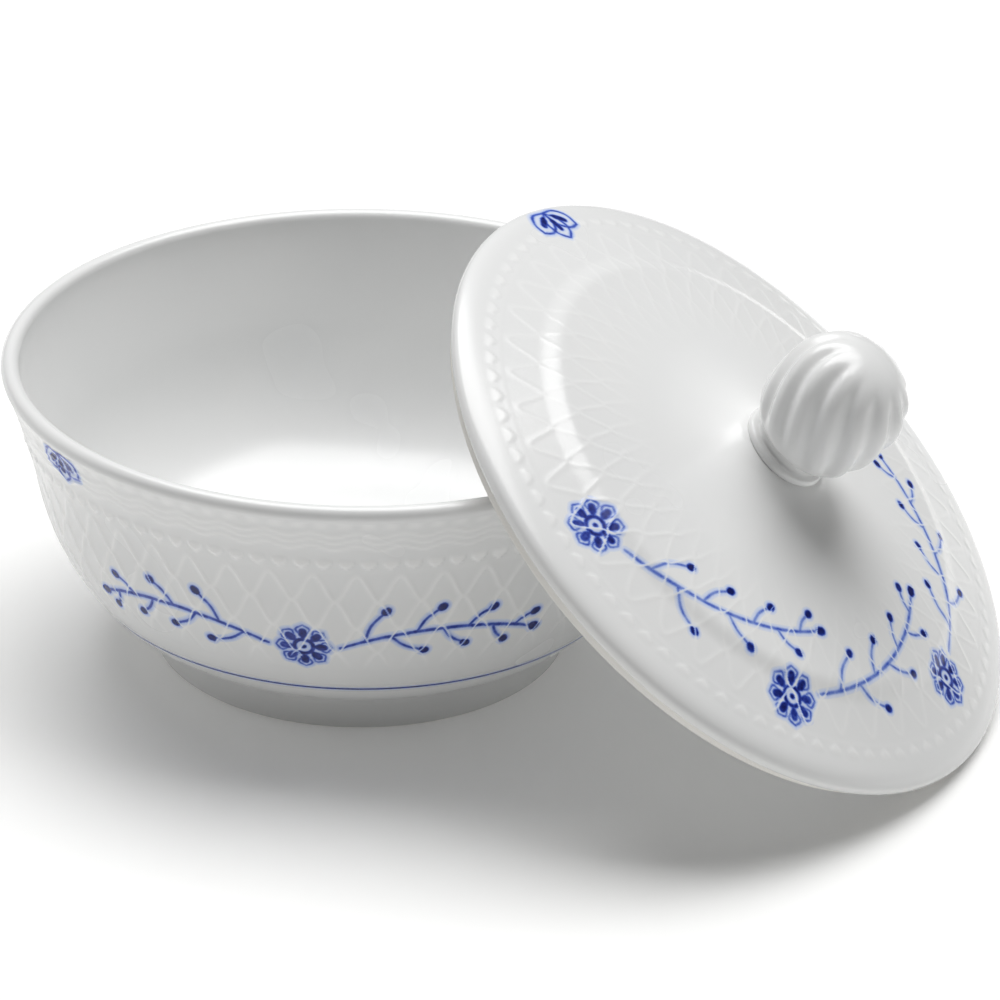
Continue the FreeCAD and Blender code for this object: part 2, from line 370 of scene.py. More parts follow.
@dataclass(frozen=True)
class Relief:
    """The moulded ornament: a net of rounded lozenges, a row of drops, and fine lines beside them.

    It is drawn over an angle and a key, which is the height on the bowl and the radius on the lid.

    Attributes:
        arches: Lozenges round the object.
        peak_angle: Direction of one lozenge's tip, in degrees.
        mean_radius: Radius at which angles are turned into lengths.
        net_top: Key of the tips of the outermost lozenges.
        net_rows: Rows of the net, each half a lozenge tall.
        row_step: Key from one row to the next.
        net_fade: Keys between which the net sinks into the wall.
        ridge: Height of the net's ridges.
        ridge_half_width: Their half width.
        drops_at: Key of the middle of the drops.
        drop: Height of the drops.
        drop_size: Half width and half height of one drop.
        waves_at: Keys of the wavy lines, if any.
        wave_swing: How far a wavy line swings each way.
        wave: Height of the wavy lines.
        line_at: Key of the plain line beside the drops.
        line: Height of that line.
        line_half_width: Half width of the wavy and the plain lines.
        beads_at: Key of the row of soft beads under the lip, or none.
        bead: Height of the beads.
        bead_size: Half width and half height of one bead.
        by_height: True where the key is the height, False where it is the radius.
        roundness: How sharply the zigzags turn: 1 for a corner, less for a curve.
        zigzag_gap: How far short of its row's edges a zigzag turns.
        drop_rise: Distance inside the tip's outline over which a drop gains its height.
        drop_root: Keys, from its middle, between which a drop sinks away at its root.
        drop_flat: Share of a drop's half width that keeps its full height.
        tip_blunt: Square of the radius that blunts a drop's tip.
    """

    arches: int
    peak_angle: float
    mean_radius: float
    net_top: float
    net_rows: int
    row_step: float
    net_fade: Point
    drops_at: float
    line_at: float
    waves_at: tuple[float, ...] = ()
    beads_at: float | None = None
    by_height: bool = True
    ridge: float = 0.14
    ridge_half_width: float = 0.34
    drop: float = 0.30
    drop_size: Point = (1.30, 1.55)
    wave_swing: float = 0.42
    wave: float = 0.14
    bead: float = 0.12
    line: float = 0.03
    line_half_width: float = 0.34
    bead_size: Point = (1.4, 0.95)
    roundness: float = 0.62
    zigzag_gap: float = 0.12
    drop_rise: float = 0.55
    drop_root: Point = (-0.5, 1.1)
    drop_flat: float = 0.70
    tip_blunt: float = 0.05

    def key(self, radius: Array, height: Array) -> Array:
        """The coordinate that the ornament's rows are measured in."""
        return height if self.by_height else radius

    def phase(self, angle: Array) -> Array:
        """The angle as a phase that is 0 at a lozenge's tip and turns once for each lozenge."""
        return self.arches * (angle - math.radians(self.peak_angle))

    def zigzag(self, phase: Array) -> tuple[Array, Array]:
        """A zigzag with rounded corners: the arc sine of a slightly flattened cosine, over its own peak.

        Args:
            phase: The phase.

        Returns:
            The zigzag from -1 to 1, and its slope over the phase.
        """
        q = self.roundness
        peak = math.asin(q)
        return (
            np.arcsin(q * np.cos(phase)) / peak,
            -q * np.sin(phase) / np.sqrt(1 - (q * np.cos(phase)) ** 2) / peak,
        )

    def net(self, angle: Array, key: Array) -> Array:
        """The net from 0 to 1: rows of zigzags in opposite step, each a rounded ridge across its own slope.

        Args:
            angle: Angle round the axis.
            key: Height or radius.

        Returns:
            The strongest ridge at each point, faded towards the plain wall.
        """
        swing = self.row_step / 2 - self.zigzag_gap
        zigzag, slope = self.zigzag(self.phase(angle))
        steepness = np.sqrt(1 + (swing * slope * self.arches / self.mean_radius) ** 2)
        strongest = np.zeros(np.broadcast(angle, key).shape)
        for row in range(self.net_rows):
            middle = self.net_top - self.row_step * (row + 0.5)
            side = 1 if row % 2 == 0 else -1
            offset = (key - middle - side * swing * zigzag) / steepness
            strongest = np.maximum(strongest, swell(offset, self.ridge_half_width))
        return strongest * ease(*self.net_fade, key)

    def height(self, angle: Array, key: Array) -> Array:
        """How far the surface is raised: net, drops, wavy lines, plain line and beads added up.

        A drop rises slowly from its root and falls off quickly at the two sides of its pointed tip, over the
        distance from them, which is the height above the tip less the offset to each side.

        Args:
            angle: Angle round the axis.
            key: Height or radius.

        Returns:
            Height in millimetres.
        """
        total = self.ridge * self.net(angle, key)
        phase = self.phase(angle)
        pair = np.pi * self.mean_radius / self.arches
        across = (np.mod(phase / np.pi, 1.0) - 0.5) * pair
        along = key - self.drops_at
        half_width, half_height = self.drop_size
        inside = along + half_height - np.sqrt(across ** 2 + self.tip_blunt)
        sides = 1 - ease(self.drop_flat * half_width, half_width, np.abs(across))
        total = total + self.drop * ease(0.0, self.drop_rise, inside) * (1 - ease(*self.drop_root, along)) * sides
        for middle in self.waves_at:
            offset = key - middle - self.wave_swing * np.cos(phase)
            total = total + self.wave * swell(offset, self.line_half_width)
        total = total + self.line * swell(key - self.line_at, self.line_half_width)
        if self.beads_at is not None:
            bead_width, bead_height = self.bead_size
            rise = np.clip(1 - ((key - self.beads_at) / bead_height) ** 2, 0, 1)
            total = total + self.bead * rise * np.cos(np.clip(across / bead_width, -1, 1) * np.pi / 2)
        return total


# ------------------------------------------------------------------ painting


@dataclass(frozen=True)
class Stroke:
    """One pull of the brush, as points on the flattened wall, in millimetres.

    Attributes:
        path: Points that the brush goes through.
        width: Full width where the brush presses most.
        load: How much pigment it leaves, from 0 to 1.
        start: Share of the full width at the start.
        end: Share of the full width at the end.
    """

    path: tuple[Point, ...]
    width: float = 0.62
    load: float = 0.62
    start: float = 0.75
    end: float = 0.75

    def line(self, step: float) -> tuple[Array, Array]:
        """The brush's track: a Catmull-Rom curve through the path, with its half width along it.

        Between two points the curve is a cubic whose slope at each is half the way between its neighbours.

        Args:
            step: Distance between the points of the track.

        Returns:
            Points, and a half width for each; the width swells from each end to the middle as a half sine.
        """
        points = np.array(self.path, float)
        ends = np.vstack([2 * points[0] - points[1], points, 2 * points[-1] - points[-2]])
        length = np.linalg.norm(np.diff(points, axis=0), axis=1).sum()
        count = max(int(length / step), 2)
        at = np.linspace(0, len(points) - 1, count + 1)
        i = np.minimum(at.astype(int), len(points) - 2)
        t = (at - i)[:, None]
        p0, p1, p2, p3 = ends[i], ends[i + 1], ends[i + 2], ends[i + 3]
        track = 0.5 * (
            2 * p1 + (p2 - p0) * t
            + (2 * p0 - 5 * p1 + 4 * p2 - p3) * t ** 2
            + (3 * p1 - p0 - 3 * p2 + p3) * t ** 3
        )
        share = np.linspace(0, 1, count + 1)
        press = np.sin(np.pi * share) ** 0.5
        floor = self.start * (1 - share) + self.end * share
        return track, 0.5 * self.width * (floor + (1 - floor) * press)


def berry(at: Point, size: float = 1.5, turn: float = 0.0, long: float = 1.35) -> Stroke:
    """A loaded touch of the brush that leaves a dark oval.

    Args:
        at: Its middle.
        size: Its width.
        turn: Direction of its long axis, in degrees.
        long: Length over width.

    Returns:
        The stroke.
    """
    half = size * (long - 1) / 2 + 0.02
    dx, dy = half * math.cos(math.radians(turn)), half * math.sin(math.radians(turn))
    return Stroke(((at[0] - dx, at[1] - dy), (at[0] + dx, at[1] + dy)), size, 1.0, 0.8, 0.9)


class Canvas:
    """A fine grid over a painted wall. The brush leaves pigment on it, and what is painted becomes a thin inlay.

    Attributes:
        STROKE_STEP: Distance between the points of a stroke's track, in millimetres.
        BLEED: Width of the halo, in millimetres.
        MARGIN: Distance beyond a stroke within which pigment is worked out, in millimetres.
        WET: Pigment at which the layer begins.
        FULL: Pigment at which the layer stands at its full height.
        DIP: How far the layer's edge dips into the wall, in millimetres.
        BREAK: Strengths of the ridge between which the paint breaks.
        BREAK_SHARE: Share of the pigment that a ridge takes away.
    """

    STROKE_STEP = 0.5
    BLEED = 0.52
    MARGIN = 1.2
    WET = 0.012
    FULL = 0.10
    DIP = 0.012
    BREAK = (0.62, 0.95)
    BREAK_SHARE = 0.8

    def __init__(self, low: Point, high: Point, step: float) -> None:
        """Lays the grid out between two corners of the flattened wall."""
        self.across = np.arange(low[0], high[0], step)
        self.up = np.arange(low[1], high[1], step)
        self.pigment = np.zeros((len(self.across), len(self.up)))

    def paint(self, strokes: list[Stroke], halo: float, blur: float) -> None:
        """Lays strokes down. Each point keeps the strongest pigment that any piece of a stroke leaves there.

        A piece is a straight run of the track. The pigment falls off over the distance beyond the half width, with
        a faint halo where cobalt has bled into the glaze.

        Args:
            strokes: The strokes.
            halo: Pigment of the halo at the stroke's edge.
            blur: How far the edge of a stroke is spread by the glaze.
        """
        for stroke in strokes:
            track, half = stroke.line(self.STROKE_STEP)
            wander = 1 + 0.10 * np.sin(np.arange(len(track)) * 0.9 + track[0, 0])
            for start, end, w0, w1, load in zip(track[:-1], track[1:], half[:-1], half[1:], wander * stroke.load):
                self.touch(start, end, (w0, w1), load, halo, blur)

    def touch(self, start: Array, end: Array, half: Point, load: float, halo: float, blur: float) -> None:
        """Lays down one straight piece of a stroke on the points near it."""
        w0, w1 = half
        margin = max(w0, w1) + self.MARGIN
        low = np.minimum(start, end) - margin
        high = np.maximum(start, end) + margin
        i0, i1 = np.searchsorted(self.across, [low[0], high[0]])
        j0, j1 = np.searchsorted(self.up, [low[1], high[1]])
        if i0 >= i1 or j0 >= j1:
            return
        x, y = self.across[i0:i1, None] - start[0], self.up[None, j0:j1] - start[1]
        along = end - start
        share = np.clip((x * along[0] + y * along[1]) / max(along @ along, 1e-12), 0, 1)
        gap = np.hypot(x - share * along[0], y - share * along[1]) - (w0 + (w1 - w0) * share)
        body = load * (1 - ease(-blur, blur, gap))
        bleed = halo * min(load + 0.3, 1.0) * swell(np.maximum(gap, 0), self.BLEED)
        window = self.pigment[i0:i1, j0:j1]
        np.maximum(window, np.maximum(body, bleed), out=window)

    def inlay(self, surface: "Wall", name: str, place: Matrix | None) -> bpy.types.Object:
        """Makes the painted cells a thin closed layer that follows the wall.

        The top stands a little proud of the wall where there is pigment and dips into it along the edge, so that
        no step shows; the bottom lies under it, and walls close it round the edge.

        Args:
            surface: The wall, which turns grid coordinates into points and knows its relief.
            name: The piece's name.
            place: Where the wall stands, in metres.

        Returns:
            The piece, with the pigment as a value at each point.
        """
        wet = self.pigment > self.WET
        cell = close_diagonals(wet[:-1, :-1] | wet[1:, :-1] | wet[:-1, 1:] | wet[1:, 1:])
        used = np.zeros(self.pigment.shape, bool)
        for di in (0, 1):
            for dj in (0, 1):
                used[di:used.shape[0] - 1 + di, dj:used.shape[1] - 1 + dj] |= cell
        ids = np.full(used.shape, -1)
        ids[used] = np.arange(used.sum())
        x, y = np.broadcast_arrays(self.across[:, None], self.up[None, :])
        x, y = x[used], y[used]
        ridge = surface.ridge(x, y)
        pigment = self.pigment[used] * (1 - self.BREAK_SHARE * ease(*self.BREAK, ridge))
        draft = MeshDraft()
        top = surface.proud * ease(self.WET, self.FULL, self.pigment[used]) - self.DIP
        for lift in (top, -surface.sunk):
            draft.add_points(surface.point(x, y, lift), relief=surface.raised(x, y), bare=0.0, pigment=pigment)
        total = int(used.sum())
        i, j = np.nonzero(cell)
        quad = np.stack([ids[i, j], ids[i + 1, j], ids[i + 1, j + 1], ids[i, j + 1]], -1)
        draft.add_faces(quad)
        draft.add_faces(quad[:, ::-1] + total)
        around = np.pad(cell, 1)
        sides = (
            (~around[1:-1, :-2], 0, 1), (~around[2:, 1:-1], 1, 2),
            (~around[1:-1, 2:], 2, 3), (~around[:-2, 1:-1], 3, 0),
        )
        for open_side, a, b in sides:
            edge = quad[open_side[i, j]]
            draft.add_faces(np.stack([edge[:, b], edge[:, a], edge[:, a] + total, edge[:, b] + total], -1))
        facing = surface.facing(x, y)
        return draft.build(name, place, np.vstack([facing, facing]))


def close_diagonals(cell: Array) -> Array:
    """Fills cells that touch only at a corner, so that the layer has no pinched edges.

    Args:
        cell: True for each painted cell.

    Returns:
        The same with every two by two block that holds only a diagonal pair filled.
    """
    cell = cell.copy()
    for _ in range(4):
        a, b, c, d = cell[:-1, :-1], cell[1:, :-1], cell[:-1, 1:], cell[1:, 1:]
        pinched = (a & d & ~b & ~c) | (b & c & ~a & ~d)
        for di in (0, 1):
            for dj in (0, 1):
                cell[di:cell.shape[0] - 1 + di, dj:cell.shape[1] - 1 + dj] |= pinched
    return cell


@dataclass
class Wall:
    """A moulded wall that can be painted: it turns flat coordinates into points on the relief.

    Attributes:
        line: The wall's outline, finely divided.
        relief: Its relief.
        outward: 1 where the outline's left normal points out of the clay, -1 where it points in.
        unit_radius: On an upright wall, the radius at which flat lengths are angles; 0 on a face seen from above.
        centre_angle: On an upright wall, the direction of the flat origin, in degrees.
        proud: How far paint stands out of the wall.
        sunk: How far it goes under it.
    """

    line: Array
    relief: Relief
    outward: float
    unit_radius: float = 0.0
    centre_angle: float = 0.0
    proud: float = 0.06
    sunk: float = 0.12

    def polar(self, x: Array, y: Array) -> tuple[Array, Array]:
        """Angle and key of flat coordinates."""
        if self.unit_radius:
            return math.radians(self.centre_angle) + x / self.unit_radius, y
        return np.arctan2(y, x), np.hypot(x, y)

    def raised(self, x: Array, y: Array) -> Array:
        """Relief height at flat coordinates."""
        return self.relief.height(*self.polar(x, y))

    def facing(self, x: Array, y: Array) -> Array:
        """Unit normals of the wall: the cross product of its steps along the two flat directions.

        The layer's edge is shaded with them too, so that thin paint has no visible rim.

        Args:
            x: First flat coordinate.
            y: Second flat coordinate.

        Returns:
            Three components for each.
        """
        step = 0.05
        along = self.point(x + step, y, 0.0) - self.point(x - step, y, 0.0)
        over = self.point(x, y + step, 0.0) - self.point(x, y - step, 0.0)
        normal = np.cross(along, over)
        return normal / np.linalg.norm(normal, axis=-1, keepdims=True)

    def ridge(self, x: Array, y: Array) -> Array:
        """Strength of the net's ridges at flat coordinates, where glaze has run off and the paint breaks."""
        return self.relief.net(*self.polar(x, y))

    def point(self, x: Array, y: Array, lift: float | Array) -> Array:
        """Points on the wall: outline at the key, turned by the angle, raised by the relief and a lift.

        Args:
            x: First flat coordinate.
            y: Second flat coordinate.
            lift: Extra height.

        Returns:
            Three coordinates for each.
        """
        angle, key = self.polar(x, y)
        column = 1 if self.unit_radius else 0
        line, normal = self.line, normals_of(self.line) * self.outward
        if line[0, column] > line[-1, column]:
            line, normal = line[::-1], normal[::-1]
        radius, height, out, up = (
            np.interp(key, line[:, column], values)
            for values in (line[:, 0], line[:, 1], normal[:, 0], normal[:, 1])
        )
        push = self.relief.height(angle, key) + lift
        radius = radius + push * out
        return np.stack([radius * np.cos(angle), radius * np.sin(angle), height + push * up], -1)


# ------------------------------------------------------------------ finishes


def add_node(tree: Tree, kind: str, settings: dict | None = None, **inputs: object) -> bpy.types.Node:
    """Adds a node with its settings and links.

    Args:
        tree: The tree.
        kind: The node's type.
        settings: Properties of the node, by name.
        **inputs: For each input socket, by name with _ for a space or by i and its number, a value or a socket.

    Returns:
        The node.
    """
    node = tree.nodes.new(kind)
    for name, value in (settings or {}).items():
        setattr(node, name, value)
    for name, value in inputs.items():
        key = int(name[1:]) if name[0] == "i" and name[1:].isdigit() else name.replace("_", " ")
        if isinstance(value, bpy.types.NodeSocket):
            tree.links.new(value, node.inputs[key])
        else:
            node.inputs[key].default_value = value
    return node


def attribute(tree: Tree, name: str) -> Socket:
    """A value that the mesh carries at each point."""
    return add_node(tree, "ShaderNodeAttribute", {"attribute_name": name}).outputs["Fac"]


def noise(tree: Tree, place: Socket, width: float, **more: float) -> Socket:
    """Soft noise whose features are about a width across, in millimetres."""
    return add_node(tree, "ShaderNodeTexNoise", Vector=place, Scale=1 / (width * MM), **more).outputs["Fac"]


def remap(tree: Tree, value: Socket, source: Point, target: Point) -> Socket:
    """Carries a value from one range to another and holds it there."""
    ends = {"From_Min": source[0], "From_Max": source[1], "To_Min": target[0], "To_Max": target[1]}
    return add_node(tree, "ShaderNodeMapRange", Value=value, **ends).outputs["Result"]


def mix(tree: Tree, share: object, first: object, second: object) -> Socket:
    """A colour that goes from the first to the second as the share goes from 0 to 1."""
    return add_node(tree, "ShaderNodeMix", {"data_type": "RGBA"}, i0=share, i6=first, i7=second).outputs[2]


class Surface(Enum):
    """How a porcelain surface is decorated."""

    PLAIN = "plain"
    PAINTED = "painted"


@dataclass(frozen=True)
class GlazedPorcelain:
    """Hard-paste porcelain, slip-moulded, dipped in clear feldspar glaze and fired; painted in cobalt under it.

    It gives the eye a cool white with a hard, even gloss, drifting at random to a faintly greyer white, and
    lighter on the ridges of the relief: partly glaze run thin there, partly a painted highlight. The glaze has a
    very faint orange peel. Where the ring stands on the kiln shelf the clay is bare: matt, dry and a touch
    warmer. Cobalt lies under the gloss and bleeds into it, pale and bright where it is thin, almost navy where
    the brush was full.

    Attributes:
        white: Glaze over a plain wall.
        thin: The lighter white on the ridges: glaze run thin there, with a painted highlight.
        pooled: A faintly greyer white that the glaze drifts to at random.
        clay: Bare fired clay.
        roughness: Gloss of the glaze, least and most.
        bare_roughness: Gloss of the bare clay.
        ior: Refractive index of the glaze.
        ridge_height: Relief at which the glaze is as thin as it gets, in millimetres.
        ridge_share: How much of the thin glaze's colour shows there.
        peel: Width of the orange peel's dimples, in millimetres.
        peel_depth: Their depth, in millimetres.
        peel_strength: How strongly they bend the reflections.
        drift: Width of the slow changes of tint, in millimetres.
        noise_range: Range that the soft noise fills.
        grain: Width of the pigment's grain, in millimetres.
        unevenness: Least and most pigment that the grain leaves, as a share.
        cobalt: Colours of the pigment with the strength at which each shows.
    """

    white: str = "#F0F0EF"
    # Lighter white for the ridges: a painted highlight together with glaze run thin.
    thin: str = "#FAFAF9"
    pooled: str = "#EAEBEB"
    clay: str = "#EBE9E4"
    roughness: Point = (0.20, 0.28)
    bare_roughness: float = 0.62
    ior: float = 1.52
    # ridge_height: Relief at which the ridges are lightest, from thin glaze and painted highlight, in millimetres.
    ridge_height: float = 0.16
    # ridge_share: How much of the ridges' lighter white, thin glaze and painted highlight, shows there.
    ridge_share: float = 0.8
    peel: float = 1.6
    peel_depth: float = 0.02
    peel_strength: float = 0.25
    drift: float = 28.0
    noise_range: Point = (0.3, 0.7)
    grain: float = 0.9
    unevenness: Point = (0.82, 1.12)
    cobalt: tuple[tuple[float, str], ...] = (
        (0.10, "#D5DEF4"), (0.28, "#93A9E3"), (0.52, "#4560C4"), (0.78, "#22338F"), (1.0, "#121A5E"),
    )

    def make(self, name: str, surface: Surface) -> bpy.types.Material:
        """Builds the material's nodes.

        Args:
            name: The material's name.
            surface: Plain or painted.

        Returns:
            The material.
        """
        material = bpy.data.materials.new(name)
        material.use_nodes = True
        tree = material.node_tree
        tree.nodes.clear()
        place = add_node(tree, "ShaderNodeTexCoord").outputs["Object"]
        bare = attribute(tree, "bare")
        slow = noise(tree, place, self.drift, Detail=2.0, Roughness=0.5)
        tint = mix(tree, slow, linear(self.white), linear(self.pooled))
        # Painted highlight, with glaze run thin: the colour goes towards the lighter white where the relief stands
        # high.
        thin_glaze_and_highlight = remap(tree, attribute(tree, "relief"), (0.0, self.ridge_height), (0.0, self.ridge_share))
        colour = mix(tree, thin_glaze_and_highlight, tint, linear(self.thin))
        if surface is Surface.PAINTED:
            colour = self.cobalt_over(tree, colour, place)
        gloss = remap(tree, slow, self.noise_range, self.roughness)
        rough = add_node(tree, "ShaderNodeMix", {"data_type": "FLOAT"}, i0=bare, i2=gloss, i3=self.bare_roughness)
        skin = add_node(
            tree, "ShaderNodeBump", Strength=self.peel_strength, Distance=self.peel_depth * MM,
            Height=noise(tree, place, self.peel, Detail=1.0, Roughness=0.4))
        shader = add_node(
            tree, "ShaderNodeBsdfPrincipled", Base_Color=mix(tree, bare, colour, linear(self.clay)),
            Roughness=rough.outputs[0], IOR=self.ior, Normal=skin.outputs["Normal"])
        add_node(tree, "ShaderNodeOutputMaterial", Surface=shader.outputs["BSDF"])
        return material

    def cobalt_over(self, tree: Tree, colour: Socket, place: Socket) -> Socket:
        """Lays cobalt over the white of the glaze, its strength taken from the pigment at each point.

        Args:
            tree: The material's tree.
            colour: The glaze's colour.
            place: Object coordinates.

        Returns:
            The socket of the painted colour.
        """
        uneven = remap(
            tree, noise(tree, place, self.grain, Detail=2.0, Roughness=0.6), self.noise_range, self.unevenness)
        strength = add_node(
            tree, "ShaderNodeMath", {"operation": "MULTIPLY", "use_clamp": True},
            i0=attribute(tree, "pigment"), i1=uneven)
        ramp = add_node(tree, "ShaderNodeValToRGB", Fac=strength.outputs[0])
        stops = ramp.color_ramp.elements
        while len(stops) < len(self.cobalt):
            stops.new(0.5)
        for stop, (position, hex_colour) in zip(stops, self.cobalt):
            stop.position = position
            stop.color = linear(hex_colour)
        cover = remap(tree, strength.outputs[0], (0.0, self.cobalt[0][0]), (0.0, 1.0))
        return mix(tree, cover, colour, ramp.outputs["Color"])


def dress(piece: bpy.types.Object, material: bpy.types.Material, body: str) -> None:
    """Gives a finished piece its material and the body that it rides on."""
    piece.data.materials.append(material)
    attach(piece, body)
    log.info("%s: %d faces, rides on %s", piece.name, len(piece.data.polygons), body)


# ------------------------------------------------------------------ bowl


@dataclass
class Bowl:
    """The footed bowl: its outline, its relief and its painting.

    Attributes are sizes in millimetres, as in the solid model, and angles in degrees. A pull is the length of a
    Bezier handle, and an angle is the direction of the wall above level at the point that it is named for.
    """

    rim_radius: float = 60.0
    height: float = 53.0
    bead_radius: float = 1.5
    wall: float = 3.0
    waist: Point = (54.7, 33.2)
    crease: Point = (35.6, 6.2)
    foot_radius: float = 35.3
    foot_width: float = 3.8
    foot_edge: float = 0.7
    recess_depth: float = 5.2
    recess_cove: float = 1.6
    floor_top: float = 9.2
    flat_floor_radius: float = 24.0
    lip_under: float = -50.0
    lip_over: float = 192.0
    crease_angle: float = 17.0
    waist_angle: float = 81.0
    flare_angle: float = 68.0
    belly_pull: float = 12.4
    waist_pull: float = 9.6
    wall_pull: float = 4.0
    inner_pull: float = 13.0
    floor_pull: float = 19.0
    moulding_starts: float = 19.0
    columns: int = 1100
    plain_columns: int = 275
    line_height: float = 13.8
    line_reach: float = 0.9
    painted_radius: float = 53.0
    painted_middle: float = -98.0
    relief: Relief = field(default_factory=lambda: Relief(
        arches=50, peak_angle=-95.8, mean_radius=54.0, net_top=39.5, net_rows=5, row_step=5.35,
        net_fade=(18.0, 24.0), drops_at=42.0, line_at=40.3, waves_at=(47.9, 46.6, 45.3), beads_at=49.9,
    ))

    def bead(self, angle: float) -> Point:
        """A point on the rolled lip's section, at an angle above level in degrees."""
        centre = (self.rim_radius - self.bead_radius, self.height - self.bead_radius)
        return reach(centre, self.bead_radius, angle)

    def outside(self) -> list[Span]:
        """Spans from the foot's crease round the belly and out to the lip."""
        waist, join, rise = self.waist, self.bead(self.lip_under), self.waist_angle
        belly = reach(self.crease, self.belly_pull, self.crease_angle)
        flare = reach(join, -self.wall_pull, self.flare_angle)
        return [
            Span((self.crease, belly, reach(waist, -self.waist_pull, rise), waist), 30),
            Span((waist, reach(waist, self.wall_pull, rise), flare, join), 40),
        ]

    def inside(self) -> list[Span]:
        """Spans from the mouth down the inner wall to the level floor."""
        join, pull, rise = self.bead(self.lip_over), self.wall_pull, self.waist_angle
        waist = (self.waist[0] - self.wall, self.waist[1])
        floor = (self.flat_floor_radius, self.floor_top)
        return [
            Span((join, reach(join, -pull, rise), reach(waist, pull, rise), waist), 7),
            Span((waist, reach(waist, -self.inner_pull, rise), (floor[0] + self.floor_pull, floor[1]), floor), 20),
        ]

    def foot(self) -> list[Span]:
        """Spans from the recess's ceiling down the ring, over its land and up its outside."""
        inner = self.foot_radius - self.foot_width
        edge, cove, top = self.foot_edge, self.recess_cove, self.recess_depth
        return [
            Span(((inner - cove, top), (inner, top), (inner, top - cove)), 4),
            Span(((inner, top - cove), (inner, edge)), 3),
            Span(((inner, edge), (inner, 0.0), (inner + edge, 0.0)), 3),
            Span(((inner + edge, 0.0), (self.foot_radius - edge, 0.0)), 1),
            Span(((self.foot_radius - edge, 0.0), (self.foot_radius, 0.0), (self.foot_radius, edge)), 3),
            Span(((self.foot_radius, edge), self.crease), 3),
        ]

    def bands(self) -> list[Band]:
        """The whole outline as bands: recess and foot, lower belly, moulded wall, lip and inside."""
        fine = outline(self.outside(), [400, 400])
        lower = resample(fine[fine[:, 1] < self.moulding_starts], 18)
        upper = resample(fine[fine[:, 1] >= self.moulding_starts], 67)
        ring = outline(self.foot())
        recess = np.array([[radius, self.recess_depth] for radius in (1.0, 15.0, 24.0)])
        first, last = np.flatnonzero(ring[:, 1] < 0.3)[[0, -1]]
        lip = np.array([self.bead(angle) for angle in np.linspace(self.lip_under, self.lip_over, 17)[1:-1]])
        inside = outline(self.inside())
        floor = np.array([[radius, self.floor_top] for radius in (16.0, 8.0, 1.0)])
        plain = self.plain_columns
        return [
            Band(np.vstack([recess, ring[:first]]), plain),
            Band(ring[first:last + 1], plain, bare=True),
            Band(np.vstack([ring[last + 1:-1], lower]), plain),
            Band(upper, self.columns, moulded=True),
            Band(np.vstack([lip, inside, floor]), plain),
        ]

    def build(self, glaze: bpy.types.Material, painted: bpy.types.Material) -> None:
        """Makes the bowl and its painting, dresses them and sets them on their body."""
        bowl = Turning(self.relief, -1.0).build("bowl_moulded", self.bands(), (self.recess_depth, self.floor_top))
        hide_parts("bowl")
        dress(bowl, glaze, "bowl_body")
        for painting in (self.paint(), self.foot_line()):
            dress(painting, painted, "bowl_body")

    def painted_wall(self) -> Wall:
        """The outside wall as a surface to paint, flattened round the middle of the painting."""
        line = outline(self.outside(), [600, 600])
        return Wall(line, self.relief, -1.0, self.painted_radius, self.painted_middle)

    def paint(self) -> bpy.types.Object:
        """Paints two berry sprigs and a flower low on the wall, and a cluster of petals under the lip."""
        canvas = Canvas((-52.0, 13.0), (44.0, 50.3), 0.17)
        canvas.paint(on_bowl(), 0.20, 0.20)
        return canvas.inlay(self.painted_wall(), "bowl_painting", None)

    def foot_line(self) -> bpy.types.Object:
        """The banding line above the foot: a thin closed hoop laid on the belly, with pigment across it.

        The hoop's section follows the wall. The pigment is even in the middle, falls off at the brush's edge, and
        has a faint bell curve of bleed under it.
        """
        wall = self.painted_wall()
        offset = np.linspace(-self.line_reach, self.line_reach, 13)
        height = self.line_height + offset
        pigment = 0.85 * (1 - ease(0.10, 0.34, np.abs(offset))) + 0.14 * swell(offset, 0.5)
        pigment[[0, -1]] = 0.0
        x = np.linspace(0, 2 * np.pi, 420, endpoint=False)[None, :] * wall.unit_radius
        draft = MeshDraft()
        top, low = (
            draft.add_points(wall.point(x, rows[:, None], lift), relief=0.0, bare=0.0, pigment=ink[:, None])
            for rows, ink, lift in ((height, pigment, wall.proud), (height[::-1], pigment[::-1], -wall.sunk)))
        rings = np.vstack([top, low, top[:1]])
        a, b = rings[:-1], rings[1:]
        draft.add_faces(np.stack([a, np.roll(a, -1, 1), np.roll(b, -1, 1), b], -1))
        return draft.build("foot_line", None)


def resample(line: Array, rows: int) -> Array:
    """Points at equal steps of length along a line, ends kept.

    Args:
        line: Rows of radius and height.
        rows: Number of intervals.

    Returns:
        rows + 1 points.
    """
    length = np.concatenate([[0], np.cumsum(np.linalg.norm(np.diff(line, axis=0), axis=1))])
    at = np.linspace(0, length[-1], rows + 1)
    return np.stack([np.interp(at, length, line[:, k]) for k in (0, 1)], 1)


# ------------------------------------------------------------------ lid


